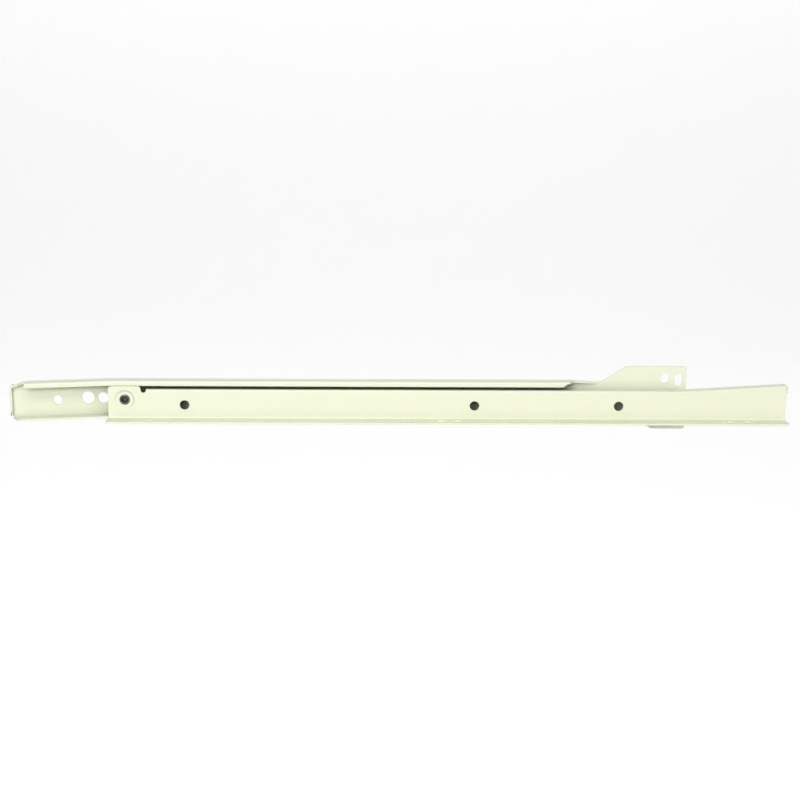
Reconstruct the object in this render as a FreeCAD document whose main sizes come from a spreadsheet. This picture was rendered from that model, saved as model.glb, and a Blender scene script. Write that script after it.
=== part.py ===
import FreeCAD, Part
import os
import re
import Sketcher

# Right-hand bottom-mount roller slide for a drawer, in mm.
# +X runs out of the cabinet, +Y is towards the cabinet wall, +Z is up.
# The origin is the middle of the screw hole in the front plate, on the wall face.

doc = FreeCAD.newDocument("drawer_slide")

# ---------------------------------------------------------------- dimensions
SIZES = [
    ("sheet_gauge", 1.3, "thickness of both formed steel profiles with their coat"),
    ("cut_margin", 1, "how far cutting outlines run past the solid"),
    ("bend_radius", 1.25, "outside radius of the sharp folds"),
    ("fold_inside", 0.8, "inside radius of the fold between the drawer web and the ledge"),
    ("profile_length", 450, "length of each profile"),
    ("opening_at_rest", 65, "how far the drawer profile stands out at rest"),
    ("side_space", 12.7, "wall face to the drawer side face"),
    ("plate_top", 42.4, "front plate, bottom edge to top edge"),
    ("plate_hole_height", 34.3, "front screw hole above the plate's bottom edge"),
    ("plate_hole_setback", 14.3, "front screw hole behind the front end"),
    ("plate_hole_bore", 6.4, "front screw hole diameter"),
    ("plate_slot_setback", 5.2, "upright slot behind the front end"),
    ("plate_slot_height", 33.4, "middle of the slot above the plate's bottom edge"),
    ("plate_slot_width", 5.4, "upright slot, across"),
    ("plate_slot_tall", 8.4, "upright slot, overall height"),
    ("plate_corner", 1.8, "rounded corners of the front plate"),
    ("plate_shoulder", 409.4, "upper end of the slant up to the plate"),
    ("plate_slant_run", 16.3, "length of that slant"),
    ("plate_slant_blend", 7, "radius where the web's edge turns up into it"),
    ("plate_tab_slant", 414.1, "where the lower tab's slant starts"),
    ("plate_tab_start", 427.6, "where the lower tab's bottom edge starts"),
    ("web_low_edge", 31.7, "web top edge between the top flange and the plate"),
    ("channel_bottom", 7.95, "underside of the track above the plate's bottom edge"),
    ("channel_top", 33.1, "top of the top flange above the plate's bottom edge"),
    ("channel_depth", 11.1, "wall face to the lip's face"),
    ("lip_tall", 3.4, "lip folded down from the top flange"),
    ("lip_start", 9.5, "rear end of the lip"),
    ("lip_end", 366.5, "front end of the lip at its lower edge"),
    ("lip_front", 370.9, "front end of the lip at its fold"),
    ("flange_end", 371, "where the top flange starts to taper away"),
    ("runout_knee", 375, "where the taper turns to follow the web"),
    ("runout_knee_depth", 3.8, "wall face to the flange's edge at that turn"),
    ("runout_end", 390, "where the flange has tapered away"),
    ("runout_tip", 1.5, "wall face to the flange's edge there"),
    ("track_end", 412, "front end of the bottom track"),
    ("track_corner_run", 5.6, "rear corner cut off the track, along the slide"),
    ("track_corner_margin", 3, "wall face to the start of that cut"),
    ("dip_length", 65, "self-closing slope at the rear"),
    ("dip_slope", 0.038, "fall of the slope per mm"),
    ("dip_blend", 4, "half length of the bend that starts the slope"),
    ("vee_top", 8.1, "where the rear stop's tongue leaves the flange's level"),
    ("vee_bottom", 1.7, "deepest point of the tongue from the web's rear end"),
    ("vee_drop", 2.3, "depth of the tongue there"),
    ("vee_tip", 0.9, "how far the tongue stands past the web's rear end"),
    ("vee_tip_drop", 1.7, "depth of the tongue at its tip"),
    ("vee_width", 5.0, "width of the tongue"),
    ("end_fold_depth", 4.6, "wall face to the edge of the fold at the rear end"),
    ("end_fold_bottom", 7.5, "lower edge of that fold above the plate's bottom edge"),
    ("end_fold_top", 26.0, "upper edge of that fold above the plate's bottom edge"),
    ("lug_drop", 2.9, "open stop folded down from the top flange"),
    ("lug_setback", 6.0, "open stop behind the end of the top flange"),
    ("lug_root", 0.5, "open stop's root inside the top flange"),
    ("lug_margin", 0.7, "web to the open stop"),
    ("lug_width", 3.2, "open stop, across"),
    ("wall_hole_height", 19.8, "rear holes above the plate's bottom edge"),
    ("wall_hole_low", 18.2, "rearmost hole above the plate's bottom edge"),
    ("wall_hole_one", 29.6, "rearmost hole from the rear end"),
    ("wall_hole_two", 49.9, "second hole from the rear end"),
    ("wall_hole_three", 60.0, "third hole from the rear end"),
    ("wall_bore_one", 6.2, "rearmost hole diameter"),
    ("wall_bore_two", 8.4, "second hole diameter"),
    ("wall_bore_three", 7.4, "third hole diameter"),
    ("ledge_depth", 13.0, "ledge under the drawer"),
    ("ledge_corner", 1.5, "rounded corners of the ledge"),
    ("ledge_lift", 0.55, "top of the ledge above the underside of the track"),
    ("flange_depth", 8.0, "top flange of the drawer profile"),
    ("drawer_top", 20.45, "top of the drawer profile above the ledge's underside"),
    ("flare_start", 385, "where the top flange starts to rise"),
    ("flare_rise", 3.9, "rise of the top flange at its front end"),
    ("flare_blend", 4, "half length of the bend that starts the rise"),
    ("stop_bottom", 19.2, "lower edge of the folded front stop"),
    ("stop_relief", 0.3, "fold relief behind the web beside the front stop"),
    ("ear_width", 21.6, "raised ear round the rear roller"),
    ("ear_top", 22.5, "top of the ear above the ledge's underside"),
    ("ear_corner", 2.2, "rounded corners of the ear"),
    ("relief_width", 3.4, "notch between the ear and the flange"),
    ("relief_bottom", 18.2, "bottom of the notch"),
    ("side_hole_bore", 6.3, "holes for the drawer side screws"),
    ("side_hole_height", 10.1, "side holes above the ledge's underside"),
    ("side_hole_one", 50.4, "rear side hole from the rear end"),
    ("side_hole_pitch", 192, "rear side hole to the middle one"),
    ("side_hole_step", 96, "middle side hole to the front one"),
    ("ledge_hole_line", 7.5, "ledge holes from the drawer side face"),
    ("tooling_hole", 13.1, "small rear hole in the ledge, from the rear end"),
    ("tooling_bore", 2.6, "small rear hole diameter"),
    ("ledge_hole_one", 28.1, "rear screw hole in the ledge, from the rear end"),
    ("ledge_bore_one", 4.4, "rear screw hole diameter"),
    ("ledge_hole_two", 219.9, "middle pair of ledge holes, from the rear end"),
    ("ledge_pitch_two", 11.2, "middle pair, one hole to the other"),
    ("ledge_bore_two", 5.8, "middle pair diameter"),
    ("ledge_hole_three", 412, "front pair of ledge holes, from the rear end"),
    ("ledge_pitch_three", 11.4, "front pair, one hole to the other"),
    ("ledge_bore_three", 5.0, "front pair diameter"),
    ("roller_radius", 8.8, "nylon rollers"),
    ("roller_width", 6.6, "nylon rollers, along the axle"),
    ("roller_bore", 3.05, "bore radius of the rollers"),
    ("roller_edge", 0.7, "rounded edges of the rollers"),
    ("roller_hub", 4.9, "hub radius of the rollers"),
    ("roller_rim", 7.3, "inner radius of the rim"),
    ("roller_recess", 0.9, "depth of the ring between hub and rim"),
    ("axle_radius", 3.0, "rivet where the roller turns"),
    ("axle_head", 4.4, "rivet head radius"),
    ("axle_head_thick", 0.8, "rivet head thickness"),
    ("axle_shoulder", 4.2, "rivet shoulder radius"),
    ("axle_neck", 2.45, "rivet neck through the sheet"),
    ("axle_tail", 3.4, "riveted-over end radius"),
    ("axle_tail_round", 0.7, "rounded rim of the riveted-over end"),
    ("axle_tail_inset", 0.1, "riveted-over end below the mounting face"),
    ("axle_mouth_round", 0.25, "rounded edge of the hollow's mouth"),
    ("axle_tail_dimple", 2.1, "mouth of the hollow in the riveted-over end"),
    ("axle_tail_well", 1.1, "floor radius of that hollow"),
    ("axle_tail_deep", 1.9, "floor of that hollow below the drawer or wall face"),
    ("neck_hole", 2.5, "hole radius in the sheet for the neck"),
    ("dimple_depth", 1.0, "how deep the sheet is pressed in round each rivet"),
    ("dimple_outer", 6.6, "pressed ring, outer radius"),
    ("dimple_inner", 5.4, "pressed ring, inner radius"),
    ("rear_axle_setback", 10.9, "rear roller's axis from the drawer profile's rear end"),
    ("rear_axle_height", 13.5, "rear roller's axis above the ledge's underside"),
    ("rear_shoulder", 0.9, "shoulder behind the rear roller"),
    ("front_axle_setback", 12, "front roller's axis behind the front end"),
    ("front_axle_height", 17.2, "front roller's axis above the plate's bottom edge"),
    ("front_shoulder", 0.6, "shoulder behind the front roller"),
    ("side_play", 0.1, "rollers to their shoulders"),
    ("head_play", 0.2, "rollers to the rivet heads"),
]

sheet = doc.addObject("Spreadsheet::Sheet", "Dims")
for row, (alias, value, meaning) in enumerate(SIZES, start=1):
    sheet.set("A%d" % row, alias)
    sheet.set("B%d" % row, str(value))
    sheet.set("C%d" % row, meaning)
    sheet.setAlias("B%d" % row, alias)
doc.recompute()

ALIASES = [alias for alias, value, meaning in SIZES]


def bound(text):
    """The expression with every alias pointed at the sheet."""
    def name(match):
        word = match.group(0)
        return "Dims." + word if word in ALIASES else word
    return re.sub(r"[a-z_]+", name, str(text))


def worth(text):
    """The expression's present value as a plain number."""
    return float(sheet.evalExpression(bound(text)))


# ------------------------------------------------------------------- helpers
def plane_of(body, role):
    for feature in body.Origin.OriginFeatures:
        if feature.Role == role:
            return feature
    raise ValueError(role)


def new_sketch(body, name, role, at=("0", "0", "0"), flip=False):
    """A sketch on one of the body's own planes, moved by expressions."""
    sketch = body.newObject("Sketcher::SketchObject", name)
    sketch.AttachmentSupport = [(plane_of(body, role), "")]
    sketch.MapMode = "FlatFace"
    turn = FreeCAD.Rotation(FreeCAD.Vector(1, 0, 0), 180 if flip else 0)
    sketch.AttachmentOffset = FreeCAD.Placement(FreeCAD.Vector(), turn)
    for axis, text in zip("xyz", at):
        if text != "0":
            sketch.setExpression("AttachmentOffset.Base." + axis, bound(text))
    return sketch


def fix(sketch, kind, *where, text):
    """A constraint whose size follows an expression."""
    value = worth(text)
    index = sketch.addConstraint(Sketcher.Constraint(kind, *where, value))
    if re.search("[a-z]", text):
        sketch.setExpression("Constraints[%d]" % index, bound(text))


def outline(sketch, points):
    """A closed outline. A point is (x, y), or (x, y, radius) when an arc arrives at it.

    A positive radius turns left on the way to the point, a negative one turns right.
    """
    spots = [FreeCAD.Vector(worth(p[0]), worth(p[1]), 0) for p in points]
    first = sketch.GeometryCount
    arcs = []
    for number, point in enumerate(points):
        start = spots[number - 1]
        end = spots[number]
        if len(point) == 2:
            sketch.addGeometry(Part.LineSegment(start, end), False)
            arcs.append(0)
            continue
        radius = worth(point[2])
        chord = end - start
        side = FreeCAD.Vector(-chord.y, chord.x, 0).normalize()
        bulge = abs(radius) - (radius ** 2 - (chord.Length / 2) ** 2) ** 0.5
        turn = 1 if radius > 0 else -1
        middle = (start + end) * 0.5 - side * bulge * turn
        sketch.addGeometry(Part.Arc(start, middle, end), False)
        arcs.append(turn)
    count = len(points)
    for number in range(count):
        here = first + number
        after = first + (number + 1) % count
        # an arc's own start is its anticlockwise start
        tail = 1 if arcs[number] < 0 else 2
        head = 2 if arcs[(number + 1) % count] < 0 else 1
        sketch.addConstraint(Sketcher.Constraint("Coincident", here, tail, after, head))
        fix(sketch, "DistanceX", -1, 1, here, tail, text=points[number][0])
        fix(sketch, "DistanceY", -1, 1, here, tail, text=points[number][1])
        if arcs[number]:
            size = points[number][2].lstrip("-")
            fix(sketch, "Radius", here, text=size)


def circle(sketch, across, up, radius):
    spot = FreeCAD.Vector(worth(across), worth(up), 0)
    number = sketch.addGeometry(Part.Circle(spot, FreeCAD.Vector(0, 0, 1), worth(radius)), False)
    fix(sketch, "DistanceX", -1, 1, number, 3, text=across)
    fix(sketch, "DistanceY", -1, 1, number, 3, text=up)
    fix(sketch, "Radius", number, text=radius)


def grow(body, kind, name, sketch, length=None, reverse=False):
    """A Pad, Pocket, Revolution or Groove of the sketch."""
    feature = body.newObject("PartDesign::" + kind, name)
    feature.Profile = sketch
    if length is None:
        feature.ReferenceAxis = (sketch, ["V_Axis"])
        feature.Angle = 360
    else:
        feature.setExpression("Length", bound(length))
        feature.Reversed = reverse
    sketch.Visibility = False
    body.Tip = feature
    doc.recompute()
    if kind in ("Pocket", "Groove"):
        base = feature.BaseFeature.Shape.Volume
        assert feature.Shape.Volume < base - 0.01, name + " cut nothing"
    assert feature.Shape.isValid(), name
    return feature


def round_edges(body, name, radius, wanted):
    """Fillet the edges of the tip for which wanted(middle, edge) is true."""
    tip = body.Tip
    names = []
    for number, edge in enumerate(tip.Shape.Edges, start=1):
        middle = edge.valueAt((edge.FirstParameter + edge.LastParameter) / 2)
        if wanted(middle, edge):
            names.append("Edge%d" % number)
    assert names, name + " found no edges"
    feature = body.newObject("PartDesign::Fillet", name)
    feature.Base = (tip, names)
    feature.setExpression("Radius", bound(radius))
    body.Tip = feature
    doc.recompute()
    assert feature.Shape.isValid(), name
    return feature


def new_body(name, across, deep, up):
    body = doc.addObject("PartDesign::Body", name)
    body.Label = name
    for axis, text in zip("xyz", (across, deep, up)):
        body.setExpression("Placement.Base." + axis, bound(text))
    return body


def along(edge, axis):
    """True for an edge whose ends differ only a little in the two other directions."""
    ends = [v.Point for v in edge.Vertexes]
    if len(ends) < 2:
        return False
    step = ends[1] - ends[0]
    spans = [abs(step.x), abs(step.y), abs(step.z)]
    main = spans.pop("xyz".index(axis))
    return main > 4 * max(spans) and main > 0.3


def dimple(body, across, up, flip):
    """A round dimple with the rivet's hole, pressed away from the mounting face."""
    boss = new_sketch(body, "dimple_back", "XY_Plane", (across, "0", up), flip)
    outline(boss, [
        ("0", "sheet_gauge / 2"),
        ("dimple_outer", "sheet_gauge / 2"),
        ("dimple_outer", "sheet_gauge"),
        ("dimple_inner", "sheet_gauge + dimple_depth"),
        ("0", "sheet_gauge + dimple_depth"),
    ])
    grow(body, "Revolution", "dimple_boss", boss)
    cup = new_sketch(body, "dimple_front", "XY_Plane", (across, "0", up), flip)
    outline(cup, [
        ("0", "0"),
        ("dimple_outer", "0"),
        ("dimple_inner", "dimple_depth"),
        ("neck_hole", "dimple_depth"),
        ("neck_hole", "sheet_gauge + dimple_depth"),
        ("0", "sheet_gauge + dimple_depth"),
    ])
    grow(body, "Groove", "dimple_cup", cup)


CABINET_X = "plate_hole_setback - profile_length"
CABINET_Z = "-plate_hole_height"
DRAWER_X = "plate_hole_setback - profile_length + opening_at_rest"
DRAWER_Z = "channel_bottom + ledge_lift - sheet_gauge - plate_hole_height"


# ----------------------------------------------------------- cabinet profile
def dipped(level, start, end):
    """Points from the rear to the front at a level that dips towards the rear."""
    rear = "%s - dip_slope * (dip_length - (%s))" % (level, start)
    bend = "%s - dip_slope * dip_blend" % level
    radius = "-2 * dip_blend / dip_slope"
    return [
        (start, rear),
        ("dip_length - dip_blend", bend),
        ("dip_length + dip_blend", level, radius),
        (end, level),
    ]


def backwards(points):
    """The same run of points walked the other way, arcs kept."""
    turned = []
    arriving = None
    for point in reversed(points):
        spot = (point[0], point[1])
        turned.append(spot + (arriving,) if arriving else spot)
        arriving = point[2].lstrip("-") if len(point) == 3 else None
    return turned


def vee(level, past_end):
    """The bent rear tongue at a level, from its tip or the web's end to the lip."""
    fall = "%s - dip_slope * (dip_length - (%s))"
    steep = "(vee_drop - vee_tip_drop) / (vee_tip + vee_bottom)"
    tip = ("-vee_tip", fall % (level, "-vee_tip") + " - vee_tip_drop")
    web_end = ("0", fall % (level, "0") + " - vee_tip_drop - vee_tip * " + steep)
    return [
        tip if past_end else web_end,
        ("vee_bottom", fall % (level, "vee_bottom") + " - vee_drop"),
        ("vee_top", fall % (level, "vee_top")),
    ]


def cabinet_profile():
    body = new_body("cabinet_profile", CABINET_X, "0", CABINET_Z)
    inner_top = "channel_top - sheet_gauge"
    inner_bottom = "channel_bottom + sheet_gauge"
    rise = "(plate_top - web_low_edge)"
    slant = "sqrt(plate_slant_run ^ 2 + %s ^ 2)" % rise
    foot = "plate_shoulder - plate_slant_run"
    # the blend's tangent length, from the tangent of half the slant's angle
    reach = "plate_slant_blend * (%s - plate_slant_run) / %s" % (slant, rise)
    top_edge = dipped("channel_top", "lip_start", "flange_end")

    web = new_sketch(body, "web_outline", "XZ_Plane")
    outline(web, dipped("channel_bottom", "0", "plate_tab_slant") + [
        ("plate_tab_start", "0"),
        ("profile_length - plate_corner", "0"),
        ("profile_length", "plate_corner", "plate_corner"),
        ("profile_length", "plate_top - plate_corner"),
        ("profile_length - plate_corner", "plate_top", "plate_corner"),
        ("plate_shoulder", "plate_top"),
        ("%s + %s * plate_slant_run / %s" % (foot, reach, slant),
         "web_low_edge + %s * %s / %s" % (reach, rise, slant)),
        ("%s - %s" % (foot, reach), "web_low_edge", "-plate_slant_blend"),
        ("flange_end", "web_low_edge"),
    ] + backwards(vee("channel_top", False) + top_edge))
    grow(body, "Pad", "web", web, "sheet_gauge")

    flange = new_sketch(body, "top_flange_outline", "XZ_Plane")
    outline(flange, dipped(inner_top, "lip_start", "flange_end") + backwards(top_edge))
    grow(body, "Pad", "top_flange", flange, "channel_depth")

    tongue = new_sketch(body, "tongue_outline", "XZ_Plane")
    under = vee(inner_top, True) + dipped(inner_top, "lip_start", "flange_end")[:1]
    over = vee("channel_top", True) + dipped("channel_top", "lip_start", "flange_end")[:1]
    outline(tongue, under + backwards(over))
    grow(body, "Pad", "tongue", tongue, "vee_width")

    fold = new_sketch(body, "end_fold_outline", "XZ_Plane")
    outline(fold, [
        ("-sheet_gauge", "end_fold_bottom"),
        ("0", "end_fold_bottom"),
        ("0", "end_fold_top"),
        ("-sheet_gauge", "end_fold_top"),
    ])
    grow(body, "Pad", "end_fold", fold, "end_fold_depth")

    track = new_sketch(body, "track_outline", "XZ_Plane")
    outline(track, dipped("channel_bottom", "0", "track_end")
            + backwards(dipped(inner_bottom, "0", "track_end")))
    grow(body, "Pad", "track", track, "channel_depth")

    lip = new_sketch(body, "lip_outline", "XZ_Plane", ("0", "0", "channel_depth - sheet_gauge"))
    low = dipped("channel_top - lip_tall", "lip_start", "lip_end")
    outline(lip, low + backwards(dipped("channel_top", "lip_start", "lip_front")))
    grow(body, "Pad", "lip", lip, "sheet_gauge")

    lug = new_sketch(body, "open_stop_outline", "XZ_Plane", ("0", "0", "sheet_gauge + lug_margin"))
    front = "flange_end - lug_setback + sheet_gauge"
    outline(lug, [
        ("flange_end - lug_setback", inner_top + " - lug_drop"),
        (front, inner_top + " - lug_drop"),
        (front, inner_top + " + lug_root"),
        ("flange_end - lug_setback", inner_top + " + lug_root"),
    ])
    grow(body, "Pad", "open_stop", lug, "lug_width")

    screw = new_sketch(body, "plate_hole_outline", "XZ_Plane")
    circle(screw, "profile_length - plate_hole_setback", "plate_hole_height", "plate_hole_bore / 2")
    grow(body, "Pocket", "plate_hole", screw, "2 * sheet_gauge", reverse=True)

    slot = new_sketch(body, "plate_slot_outline", "XZ_Plane")
    middle = "profile_length - plate_slot_setback"
    half = "plate_slot_width / 2"
    reach = "(plate_slot_tall - plate_slot_width) / 2"
    outline(slot, [
        (middle + " - " + half, "plate_slot_height - " + reach),
        (middle, "plate_slot_height - plate_slot_tall / 2", half),
        (middle + " + " + half, "plate_slot_height - " + reach, half),
        (middle + " + " + half, "plate_slot_height + " + reach),
        (middle, "plate_slot_height + plate_slot_tall / 2", half),
        (middle + " - " + half, "plate_slot_height + " + reach, half),
    ])
    grow(body, "Pocket", "plate_slot", slot, "2 * sheet_gauge", reverse=True)

    holes = new_sketch(body, "wall_holes_outline", "XZ_Plane")
    circle(holes, "wall_hole_one", "wall_hole_low", "wall_bore_one / 2")
    circle(holes, "wall_hole_two", "wall_hole_height", "wall_bore_two / 2")
    circle(holes, "wall_hole_three", "wall_hole_height", "wall_bore_three / 2")
    grow(body, "Pocket", "wall_holes", holes, "2 * sheet_gauge", reverse=True)

    corner = new_sketch(body, "track_corner_outline", "XY_Plane")
    outline(corner, [
        ("-cut_margin", "-track_corner_margin"),
        ("-cut_margin", "-channel_depth - cut_margin"),
        ("track_corner_run", "-channel_depth - cut_margin"),
        ("track_corner_run", "-channel_depth"),
        ("0", "-track_corner_margin"),
    ])
    over_track = "channel_bottom + sheet_gauge + cut_margin"
    grow(body, "Pocket", "track_corner", corner, over_track, reverse=True)

    dimple(body, "profile_length - front_axle_setback", "front_axle_height", flip=True)

    def on_line(alias, middle, edge):
        """True for an edge that runs along a dipped level of the channel."""
        fall = worth("dip_slope") * max(0, worth("dip_length") - middle.x)
        return abs(middle.z - worth(alias) + fall) < 0.3 and along(edge, "x")

    depth = worth("channel_depth")
    lip_start = worth("lip_start")
    flange_end = worth("flange_end")
    track_end = worth("track_end")
    round_edges(body, "lower_fold", "bend_radius", lambda m, e: abs(m.y) < 0.01
                and m.x < track_end and on_line("channel_bottom", m, e))
    round_edges(body, "lip_fold", "bend_radius", lambda m, e: abs(m.y + depth) < 0.01
                and m.x > lip_start and on_line("channel_top", m, e))
    round_edges(body, "upper_fold", "bend_radius", lambda m, e: abs(m.y) < 0.01
                and lip_start < m.x < flange_end and on_line("channel_top", m, e))

    low_edge = "web_low_edge - sheet_gauge"
    reach = "channel_depth - bend_radius"
    runout = new_sketch(body, "runout_outline", "XZ_Plane")
    outline(runout, [
        ("lip_front", inner_top),
        ("runout_end", low_edge),
        ("runout_end", "web_low_edge"),
        ("lip_front", "channel_top"),
    ])
    grow(body, "Pad", "runout", runout, reach)

    below = ("0", "0", low_edge + " - cut_margin")
    taper = new_sketch(body, "runout_taper_outline", "XY_Plane", below)
    outline(taper, [
        ("flange_end", "-(%s)" % reach),
        ("runout_knee", "-runout_knee_depth"),
        ("runout_end", "-runout_tip"),
        ("runout_end + cut_margin", "-runout_tip"),
        ("runout_end + cut_margin", "-channel_depth"),
        ("flange_end", "-channel_depth"),
    ])
    above = "channel_top - web_low_edge + sheet_gauge + 2 * cut_margin"
    grow(body, "Pocket", "runout_taper", taper, above, reverse=True)
    return body


# ------------------------------------------------------------ drawer profile
def flared(level, start, end):
    """Points from the rear to the front at a level that rises near the front."""
    slope = "flare_rise / (profile_length - flare_start)"
    return [
        (start, level),
        ("flare_start - flare_blend", level),
        ("flare_start + flare_blend", "%s + flare_blend * %s" % (level, slope),
         "2 * flare_blend / (%s)" % slope),
        (end, "%s + (%s - flare_start) * %s" % (level, end, slope)),
    ]


def drawer_profile():
    body = new_body("drawer_profile", DRAWER_X, "-side_space", DRAWER_Z)
    flange_start = "ear_width + relief_width"

    web = new_sketch(body, "web_outline", "XZ_Plane")
    outline(web, [
        ("0", "0"),
        ("profile_length", "0"),
    ] + backwards(flared("drawer_top", flange_start, "profile_length")) + [
        (flange_start, "relief_bottom + relief_width / 2"),
        ("ear_width + relief_width / 2", "relief_bottom", "-relief_width / 2"),
        ("ear_width", "relief_bottom + relief_width / 2", "-relief_width / 2"),
        ("ear_width", "ear_top - ear_corner"),
        ("ear_width - ear_corner", "ear_top", "ear_corner"),
        ("ear_corner", "ear_top"),
        ("0", "ear_top - ear_corner", "ear_corner"),
    ])
    grow(body, "Pad", "web", web, "sheet_gauge", reverse=True)

    flange = new_sketch(body, "top_flange_outline", "XZ_Plane")
    under = "drawer_top - sheet_gauge"
    tip = "profile_length + sheet_gauge"
    end_top = "drawer_top + flare_rise"
    outline(flange, flared(under, flange_start, "profile_length") + [
        ("profile_length", "stop_bottom"),
        (tip, "stop_bottom"),
        (tip, end_top + " - bend_radius"),
        (tip + " - bend_radius", end_top, "bend_radius"),
    ] + backwards(flared("drawer_top", flange_start, "profile_length - 1")))
    grow(body, "Pad", "top_flange", flange, "flange_depth", reverse=True)

    ledge = new_sketch(body, "ledge_outline", "XY_Plane")
    outline(ledge, [
        ("0", "sheet_gauge"),
        ("0", "ledge_corner - ledge_depth"),
        ("ledge_corner", "-ledge_depth", "ledge_corner"),
        ("profile_length - ledge_corner", "-ledge_depth"),
        ("profile_length", "ledge_corner - ledge_depth", "ledge_corner"),
        ("profile_length", "sheet_gauge"),
    ])
    grow(body, "Pad", "ledge", ledge, "sheet_gauge")

    gap = new_sketch(body, "front_stop_gap_outline", "XZ_Plane")
    outline(gap, [
        ("profile_length", "stop_bottom - cut_margin"),
        (tip + " + cut_margin", "stop_bottom - cut_margin"),
        (tip + " + cut_margin", end_top + " - bend_radius"),
        ("profile_length", end_top + " - bend_radius"),
    ])
    grow(body, "Pocket", "front_stop_gap", gap, "sheet_gauge + stop_relief")

    holes = new_sketch(body, "side_holes_outline", "XZ_Plane")
    for across in ("side_hole_one", "side_hole_one + side_hole_pitch",
                   "side_hole_one + side_hole_pitch + side_hole_step"):
        circle(holes, across, "side_hole_height", "side_hole_bore / 2")
    grow(body, "Pocket", "side_holes", holes, "2 * sheet_gauge")

    ledge_holes = new_sketch(body, "ledge_holes_outline", "XY_Plane")
    for across, bore in (
        ("tooling_hole", "tooling_bore"),
        ("ledge_hole_one", "ledge_bore_one"),
        ("ledge_hole_two", "ledge_bore_two"),
        ("ledge_hole_two + ledge_pitch_two", "ledge_bore_two"),
        ("ledge_hole_three", "ledge_bore_three"),
        ("ledge_hole_three + ledge_pitch_three", "ledge_bore_three"),
    ):
        circle(ledge_holes, across, "-ledge_hole_line", bore + " / 2")
    grow(body, "Pocket", "ledge_holes", ledge_holes, "2 * sheet_gauge", reverse=True)

    dimple(body, "rear_axle_setback", "rear_axle_height", flip=False)

    top = worth("drawer_top")
    rise = worth("flare_rise")
    start = worth(flange_start)
    gauge = worth("sheet_gauge")
    length = worth("profile_length")
    round_edges(body, "lower_fold_inside", "fold_inside",
                lambda m, e: abs(m.y) < 0.01 and abs(m.z - gauge) < 0.01 and along(e, "x"))
    round_edges(body, "lower_fold", "fold_inside + sheet_gauge",
                lambda m, e: abs(m.y - gauge) < 0.01 and abs(m.z) < 0.01 and along(e, "x"))
    round_edges(body, "upper_fold", "bend_radius",
                lambda m, e: abs(m.y) < 0.01 and top - 0.1 < m.z < top + rise + 0.1
                and along(e, "x") and start < m.x < length)
    return body


# --------------------------------------------------------- rollers and rivets
def roller(name, across, deep, up):
    """A nylon roller, its axis along Y, grown from the face at deep towards +Y."""
    body = new_body(name, across, deep, up)
    section = new_sketch(body, "roller_section", "XY_Plane")
    outline(section, [
        ("roller_bore", "0"),
        ("roller_hub", "0"),
        ("roller_hub", "roller_recess"),
        ("roller_rim", "roller_recess"),
        ("roller_rim", "0"),
        ("roller_radius - roller_edge", "0"),
        ("roller_radius", "roller_edge", "roller_edge"),
        ("roller_radius", "roller_width - roller_edge"),
        ("roller_radius - roller_edge", "roller_width", "roller_edge"),
        ("roller_rim", "roller_width"),
        ("roller_rim", "roller_width - roller_recess"),
        ("roller_hub", "roller_width - roller_recess"),
        ("roller_hub", "roller_width"),
        ("roller_bore", "roller_width"),
    ])
    grow(body, "Revolution", "roller", section)
    return body


def rivet(name, across, deep, up, shoulder, flip):
    """A shouldered rivet that carries a roller, grown from its mounting face."""
    body = new_body(name, across, deep, up)
    face = "dimple_depth"
    back = "sheet_gauge + dimple_depth"
    seat = back + " + " + shoulder
    end = seat + " + side_play + roller_width + head_play"
    section = new_sketch(body, "rivet_section", "XY_Plane", flip=flip)
    outline(section, [
        ("0", "axle_tail_deep"),
        ("axle_tail_well", "axle_tail_deep"),
        ("axle_tail_dimple", "axle_tail_inset + axle_mouth_round"),
        ("axle_tail_dimple + axle_mouth_round", "axle_tail_inset", "axle_mouth_round"),
        ("axle_tail - axle_tail_round", "axle_tail_inset"),
        ("axle_tail", "axle_tail_inset + axle_tail_round", "axle_tail_round"),
        ("axle_tail", face),
        ("axle_neck", face),
        ("axle_neck", back),
        ("axle_shoulder", back),
        ("axle_shoulder", seat),
        ("axle_radius", seat),
        ("axle_radius", end),
        ("axle_head", end),
        ("axle_head", end + " + axle_head_thick / 2"),
        ("axle_head - axle_head_thick / 2", end + " + axle_head_thick", "axle_head_thick / 2"),
        ("0", end + " + axle_head_thick"),
    ])
    grow(body, "Revolution", "rivet", section)
    return body


rear_x = DRAWER_X + " + rear_axle_setback"
rear_z = DRAWER_Z + " + rear_axle_height"
front_x = "plate_hole_setback - front_axle_setback"
front_z = CABINET_Z + " + front_axle_height"
rear_seat = "-side_space + sheet_gauge + dimple_depth + rear_shoulder + side_play"
front_seat = "-(sheet_gauge + dimple_depth + front_shoulder + side_play + roller_width)"

bodies = [
    cabinet_profile(),
    drawer_profile(),
    roller("front_roller", front_x, front_seat, front_z),
    rivet("front_roller_rivet", front_x, "0", front_z, "front_shoulder", flip=True),
    roller("rear_roller", rear_x, rear_seat, rear_z),
    rivet("rear_roller_rivet", rear_x, "-side_space", rear_z, "rear_shoulder", flip=False),
]
doc.recompute()

# -------------------------------------------------------------------- export
for item in doc.Objects:
    assert not {"Invalid", "Error"} & set(item.State), item.Label
os.makedirs("parts", exist_ok=True)
for body in bodies:
    shape = body.Shape
    assert not shape.isNull() and shape.isValid() and len(shape.Solids) == 1, body.Label
    shape.exportStep("parts/%s.step" % body.Label)
    box = shape.BoundBox
    print("%-20s volume %9.1f  x %.2f..%.2f  y %.2f..%.2f  z %.2f..%.2f" % (
        body.Label, shape.Volume, box.XMin, box.XMax, box.YMin, box.YMax, box.ZMin, box.ZMax))
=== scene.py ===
import math

import bpy
from mathutils import Matrix, Vector


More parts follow.
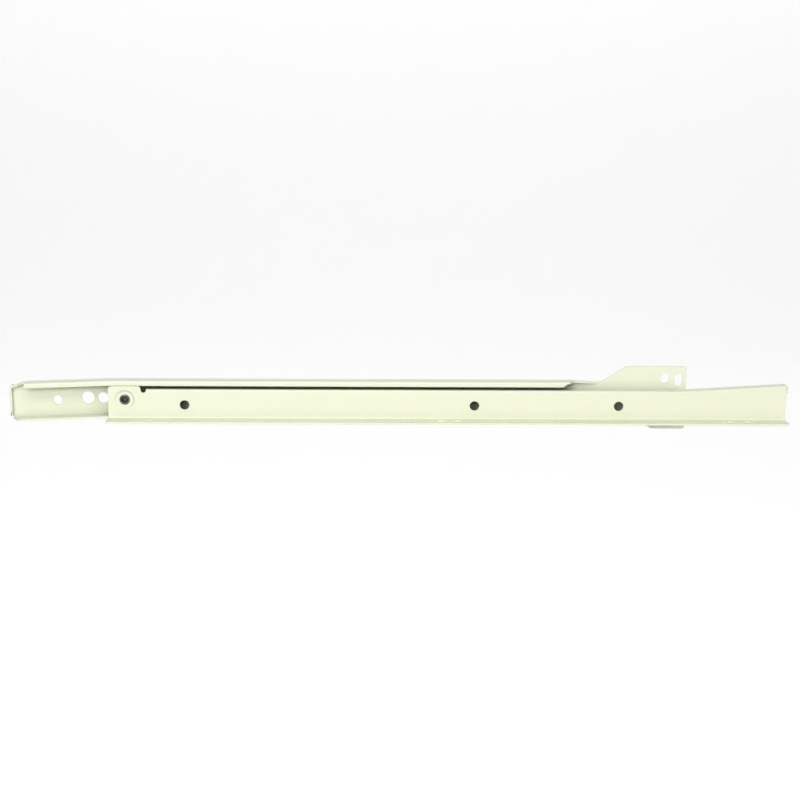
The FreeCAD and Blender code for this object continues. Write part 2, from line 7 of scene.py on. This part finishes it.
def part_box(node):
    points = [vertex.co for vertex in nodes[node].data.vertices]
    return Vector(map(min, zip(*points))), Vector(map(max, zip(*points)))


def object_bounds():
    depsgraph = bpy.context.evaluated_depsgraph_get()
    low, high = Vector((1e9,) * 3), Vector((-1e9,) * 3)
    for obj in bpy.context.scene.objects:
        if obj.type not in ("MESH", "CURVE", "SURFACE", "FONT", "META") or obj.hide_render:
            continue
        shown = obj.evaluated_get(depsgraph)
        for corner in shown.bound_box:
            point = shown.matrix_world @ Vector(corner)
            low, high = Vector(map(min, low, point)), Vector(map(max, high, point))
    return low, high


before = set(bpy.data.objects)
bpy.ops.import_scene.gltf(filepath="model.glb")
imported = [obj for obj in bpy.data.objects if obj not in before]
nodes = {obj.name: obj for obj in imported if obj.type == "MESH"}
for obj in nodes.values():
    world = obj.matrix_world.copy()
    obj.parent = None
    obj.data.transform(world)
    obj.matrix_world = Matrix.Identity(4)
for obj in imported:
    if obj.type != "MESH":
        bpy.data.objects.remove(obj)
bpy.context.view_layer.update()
scene = bpy.context.scene

# ------------------------------------------------------------------ settings
# Colours are linear. Lengths are in metres.
CREAM = (0.800, 0.822, 0.640, 1.0)
CREAM_WORN = (0.700, 0.712, 0.555, 1.0)
CREAM_EDGE = (0.480, 0.505, 0.400, 1.0)
# Painted shade: dark colour laid into gaps, holes and folds where shade falls.
CREAM_PAINTED_SHADE = (0.110, 0.135, 0.090, 1.0)
# Painted deep shade: near-black laid into the enclosed cavity seen through holes and slots.
CREAM_PAINTED_DEEP_SHADE = (0.010, 0.013, 0.010, 1.0)
NYLON = (0.860, 0.850, 0.780, 1.0)
NYLON_SHADE = (0.760, 0.745, 0.660, 1.0)
STEEL = (0.190, 0.215, 0.180, 1.0)
STEEL_DULL = (0.020, 0.026, 0.020, 1.0)
STAGE_BACK = (0.930, 0.930, 0.925, 1.0)
STAGE_FRONT = (0.650, 0.650, 0.645, 1.0)
GLOW = 0.53
AIR_GLOW = 0.08
EDGE_REACH = 0.0004
# Reach of the ambient occlusion that lays painted shade into gaps, holes and folds.
PAINTED_SHADE_REACH = 0.014
# Reach of the ambient occlusion that lays painted deep shade into the enclosed cavity.
PAINTED_DEEP_SHADE_REACH = 0.045
FLOOR_DROP = 0.30
FLOOR_FRONT = -4.0
FLOOR_BACK = 1.6
FLOOR_BEND = 0.9
SHEET_RISE = 5.0
SHEET_REACH = 5.0
BEND_STEPS = 12

CAMERA_AT = Vector((-0.1976, -1.0164, 0.1831))
CAMERA_TURN = 1.13
CAMERA_TIP = 11.06
CAMERA_ROLL = 0.42
CAMERA_LENS = 69.44


# ------------------------------------------------------------ shader helpers
class Recipe:
    """A material under construction, with short ways to add and join nodes."""

    def __init__(self, name):
        self.material = bpy.data.materials.new(name)
        self.material.use_nodes = True
        self.tree = self.material.node_tree
        self.shader = self.tree.nodes["Principled BSDF"]
        self.place = self.add("ShaderNodeTexCoord").outputs["Object"]

    def add(self, kind, **values):
        node = self.tree.nodes.new(kind)
        for key, value in values.items():
            setattr(node, key, value)
        return node

    def join(self, output, socket):
        self.tree.links.new(output, socket)

    def set(self, **values):
        """Constants on the shader's own sockets."""
        for key, value in values.items():
            self.shader.inputs[key.replace("_", " ")].default_value = value

    def noise(self, scale, detail=2.0, roughness=0.5, stretch=None, centre=None):
        """Fractal noise in the object's own metres."""
        place = self.place
        if stretch or centre:
            place = self.moved(centre or (0, 0, 0), stretch or (1, 1, 1))
        node = self.add("ShaderNodeTexNoise")
        node.inputs["Scale"].default_value = scale
        node.inputs["Detail"].default_value = detail
        node.inputs["Roughness"].default_value = roughness
        self.join(place, node.inputs["Vector"])
        return node.outputs["Fac"]

    def moved(self, centre, stretch=(1, 1, 1)):
        """Coordinates measured from centre, then stretched."""
        less = self.add("ShaderNodeVectorMath", operation="SUBTRACT")
        self.join(self.place, less.inputs[0])
        less.inputs[1].default_value = centre
        more = self.add("ShaderNodeVectorMath", operation="MULTIPLY")
        self.join(less.outputs[0], more.inputs[0])
        more.inputs[1].default_value = stretch
        return more.outputs[0]

    def spread(self, value, low, high, to_low=0.0, to_high=1.0):
        """The value's stretch low..high mapped to to_low..to_high and kept inside."""
        node = self.add("ShaderNodeMapRange")
        node.clamp = True
        numbers = (low, high, to_low, to_high)
        for name, number in zip(("From Min", "From Max", "To Min", "To Max"), numbers):
            node.inputs[name].default_value = number
        self.join(value, node.inputs["Value"])
        return node.outputs["Result"]

    def math(self, operation, one, other=None):
        node = self.add("ShaderNodeMath", operation=operation)
        for socket, value in zip(node.inputs, (one, other)):
            if value is None:
                continue
            if isinstance(value, (int, float)):
                socket.default_value = value
            else:
                self.join(value, socket)
        return node.outputs[0]

    def blend(self, amount, one, other):
        """A colour between one and other, each a colour or a socket."""
        node = self.add("ShaderNodeMix", data_type="RGBA")
        self.join(amount, node.inputs["Factor"])
        for name, value in (("A", one), ("B", other)):
            socket = [s for s in node.inputs if s.name == name and s.type == "RGBA"][0]
            if isinstance(value, tuple):
                socket.default_value = value
            else:
                self.join(value, socket)
        return [s for s in node.outputs if s.type == "RGBA"][0]

    def axle_radius(self, centre):
        """Distance from the line through centre that runs along Y."""
        flat = self.moved(centre, (1, 0, 1))
        node = self.add("ShaderNodeVectorMath", operation="LENGTH")
        self.join(flat, node.inputs[0])
        return node.outputs["Value"]

    def edges(self, reach):
        """1 along sharp edges and 0 on flat faces, within reach of the edge."""
        soft = self.add("ShaderNodeBevel", samples=4)
        soft.inputs["Radius"].default_value = reach
        hard = self.add("ShaderNodeNewGeometry")
        same = self.add("ShaderNodeVectorMath", operation="DOT_PRODUCT")
        self.join(soft.outputs["Normal"], same.inputs[0])
        self.join(hard.outputs["True Normal"], same.inputs[1])
        return self.spread(same.outputs["Value"], 0.995, 0.85)

    def painted_shade_mask(self, reach, low, high):
        """Painted shade mask from ambient occlusion: 1 deep in gaps and holes and 0 in the open.
        """
        node = self.add("ShaderNodeAmbientOcclusion", samples=4)
        node.inputs["Distance"].default_value = reach
        return self.spread(node.outputs["AO"], high, low)

    def bump(self, layers, soften=None):
        """Bump layers of (height, strength, distance), over softened edges."""
        normal = None
        if soften:
            edge = self.add("ShaderNodeBevel", samples=4)
            edge.inputs["Radius"].default_value = soften
            normal = edge.outputs["Normal"]
        for height, strength, distance in layers:
            node = self.add("ShaderNodeBump")
            node.inputs["Strength"].default_value = strength
            node.inputs["Distance"].default_value = distance
            self.join(height, node.inputs["Height"])
            if normal:
                self.join(normal, node.inputs["Normal"])
            normal = node.outputs["Normal"]
        self.join(normal, self.shader.inputs["Normal"])


# ----------------------------------------------------------------- materials
def powder_coat(name):
    """Smooth cream powder coat: orange peel, scuffs, dust, darker edges, and painted shade in
    gaps, holes and the enclosed cavity.
    """
    mix = Recipe(name)
    mottle = mix.noise(38, detail=3)
    cloud = mix.noise(7, detail=2)
    scuff = mix.noise(900, detail=4, roughness=0.65, stretch=(0.03, 1, 1))
    speck = mix.noise(1500, detail=1)

    tint = mix.spread(mottle, 0.35, 0.7, 0.0, 0.10)
    rub = mix.spread(scuff, 0.60, 0.75, 0.0, 0.22)
    dust = mix.spread(speck, 0.74, 0.80, 0.0, 0.25)
    worn = mix.math("MAXIMUM", mix.math("ADD", tint, rub), dust)
    face = mix.blend(worn, CREAM, CREAM_WORN)
    edge = mix.math("MULTIPLY", mix.edges(EDGE_REACH), 0.45)
    # Painted shade: ambient occlusion blends a dark colour into gaps, holes and folds.
    painted_shade = mix.math("MULTIPLY", mix.painted_shade_mask(PAINTED_SHADE_REACH, 0.10, 0.32), 0.85)
    # Painted deep shade: wide ambient occlusion blends near-black into the enclosed cavity.
    deep = mix.math("MULTIPLY", mix.painted_shade_mask(PAINTED_DEEP_SHADE_REACH, 0.10, 0.28), 0.92)
    rimmed = mix.blend(edge, face, CREAM_EDGE)
    shaded = mix.blend(painted_shade, rimmed, CREAM_PAINTED_SHADE)
    mix.join(mix.blend(deep, shaded, CREAM_PAINTED_DEEP_SHADE), mix.shader.inputs["Base Color"])

    gloss = mix.spread(cloud, 0.3, 0.7, 0.30, 0.38)
    dull = mix.spread(scuff, 0.5, 0.8, 0.0, 0.12)
    mix.join(mix.math("ADD", gloss, dull), mix.shader.inputs["Roughness"])
    mix.set(Specular_IOR_Level=0.45, Coat_Weight=0.15, Coat_Roughness=0.25)
    peel = mix.noise(620, detail=2)
    wave = mix.noise(90, detail=1)
    mix.bump([(peel, 0.10, 0.00006), (wave, 0.08, 0.0003)], soften=0.00035)
    return mix.material


def nylon(name, centre):
    """Moulded nylon: turned sheen on the tread, faint rings on the faces."""
    mix = Recipe(name)
    radius = mix.axle_radius(centre)
    grain = mix.noise(260, detail=3)
    dirt = mix.noise(120, detail=3, centre=centre)
    ring = mix.math("SINE", mix.math("MULTIPLY", radius, 2 * math.pi / 0.00045))
    shade = mix.spread(dirt, 0.4, 0.75, 0.0, 0.5)
    mix.join(mix.blend(shade, NYLON, NYLON_SHADE), mix.shader.inputs["Base Color"])
    mix.join(mix.spread(grain, 0.3, 0.7, 0.38, 0.52), mix.shader.inputs["Roughness"])
    mix.set(Subsurface_Weight=0.12, Subsurface_Scale=0.002, Specular_IOR_Level=0.45)
    mix.shader.inputs["Subsurface Radius"].default_value = (1.0, 0.8, 0.6)
    mix.bump([(ring, 0.10, 0.00005), (grain, 0.12, 0.00008)], soften=0.0003)
    return mix.material


def plated_steel(name, centre):
    """Zinc-plated rivet: turning rings under dull, darkened blotches."""
    mix = Recipe(name)
    radius = mix.axle_radius(centre)
    swirl = mix.noise(420, detail=3, centre=centre)
    blotch = mix.noise(900, detail=2, centre=centre)
    wobble = mix.math("MULTIPLY", swirl, 3.0)
    turns = mix.math("MULTIPLY", radius, 2 * math.pi / 0.0003)
    ring = mix.math("SINE", mix.math("ADD", turns, wobble))
    dull = mix.spread(blotch, 0.35, 0.7, 0.0, 0.75)
    mix.join(mix.blend(dull, STEEL, STEEL_DULL), mix.shader.inputs["Base Color"])
    mix.join(mix.spread(swirl, 0.3, 0.7, 0.26, 0.46), mix.shader.inputs["Roughness"])
    mix.set(Metallic=1.0)
    mix.bump([(ring, 0.18, 0.00004), (blotch, 0.25, 0.0001)], soften=0.0002)
    return mix.material


def dress(node, material):
    thing = nodes[node]
    thing.data.materials.clear()
    thing.data.materials.append(material)


def middle_of(node):
    low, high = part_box(node)
    return tuple((low + high) / 2)


cabinet_coat = powder_coat("cream_powder_coat_cabinet")
drawer_coat = powder_coat("cream_powder_coat_drawer")
dress("cabinet_profile", cabinet_coat)
dress("drawer_profile", drawer_coat)
for end in ("front", "rear"):
    wheel = end + "_roller"
    pin = wheel + "_rivet"
    dress(wheel, nylon("nylon_" + end, middle_of(wheel)))
    dress(pin, plated_steel("zinc_rivet_" + end, middle_of(pin)))

# --------------------------------------------------------------------- stage
low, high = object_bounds()
centre = (low + high) / 2


def studio_sheet():
    """One pale sheet: a floor well below the slide that curves up behind it."""
    floor = low.z - FLOOR_DROP
    run = [(FLOOR_FRONT, floor)]
    for step in range(BEND_STEPS + 1):
        angle = math.radians(90 * step / BEND_STEPS)
        deep = FLOOR_BACK + FLOOR_BEND * math.sin(angle)
        run.append((deep, floor + FLOOR_BEND * (1 - math.cos(angle))))
    run.append((FLOOR_BACK + FLOOR_BEND, floor + SHEET_RISE))
    spots = []
    faces = []
    for across in (-SHEET_REACH, SHEET_REACH):
        for deep, up in run:
            spots.append((centre.x + across, deep, up))
    count = len(run)
    for number in range(count - 1):
        faces.append((number, number + 1, count + number + 1, count + number))
    mesh = bpy.data.meshes.new("studio_sheet")
    mesh.from_pydata(spots, [], faces)
    for face in mesh.polygons:
        face.use_smooth = True
    sheet = bpy.data.objects.new("studio_sheet", mesh)
    scene.collection.objects.link(sheet)
    mix = Recipe("studio_paper")
    split = mix.add("ShaderNodeSeparateXYZ")
    mix.join(mix.place, split.inputs[0])
    behind = mix.spread(split.outputs["Y"], -0.25, 0.05)
    mix.join(mix.blend(behind, STAGE_FRONT, STAGE_BACK), mix.shader.inputs["Base Color"])
    mix.join(mix.spread(behind, 0.0, 1.0, 0.0, GLOW), mix.shader.inputs["Emission Strength"])
    mix.set(Emission_Color=(1.0, 1.0, 1.0, 1.0), Roughness=0.9, Specular_IOR_Level=0.1)
    mesh.materials.append(mix.material)


def soft_box(name, at, aim, width, height, power):
    data = bpy.data.lights.new(name, "AREA")
    data.shape = "RECTANGLE"
    data.size = width
    data.size_y = height
    data.energy = power
    lamp = bpy.data.objects.new(name, data)
    lamp.location = at
    lamp.rotation_euler = (Vector(aim) - Vector(at)).to_track_quat("-Z", "Y").to_euler()
    scene.collection.objects.link(lamp)


studio_sheet()
middle = Vector((-0.19, -0.01, -0.01))
soft_box("left", middle + Vector((-0.30, -1.35, 0.42)), middle, 0.8, 0.5, 11.7)
soft_box("right", middle + Vector((1.25, -1.10, 0.36)), middle, 0.7, 0.5, 5.6)
soft_box("front", middle + Vector((-0.10, -0.95, 1.00)), middle, 1.5, 0.5, 7.8)
soft_box("above", middle + Vector((-0.05, -0.05, 1.25)), middle, 1.4, 0.5, 1.5)

world = bpy.data.worlds.new("studio_air")
scene.world = world
world.use_nodes = True
air = world.node_tree.nodes["Background"]
air.inputs["Color"].default_value = (1.0, 1.0, 1.0, 1.0)
air.inputs["Strength"].default_value = AIR_GLOW
scene.view_settings.view_transform = "Standard"

# -------------------------------------------------------------------- camera
turn = math.radians(CAMERA_TURN)
tip = math.radians(CAMERA_TIP)
roll = math.radians(CAMERA_ROLL)
forward = Vector((math.sin(turn) * math.cos(tip), math.cos(turn) * math.cos(tip), -math.sin(tip)))
level = Vector((math.cos(turn), -math.sin(turn), 0))
upright = level.cross(forward)
right = level * math.cos(roll) + upright * math.sin(roll)
up = upright * math.cos(roll) - level * math.sin(roll)
camera_data = bpy.data.cameras.new("camera")
camera_data.sensor_width = 36
camera_data.lens = CAMERA_LENS
camera = bpy.data.objects.new("camera", camera_data)
basis = Matrix((right, up, -forward)).transposed().to_4x4()
camera.matrix_world = Matrix.Translation(CAMERA_AT) @ basis
scene.collection.objects.link(camera)
scene.camera = camera
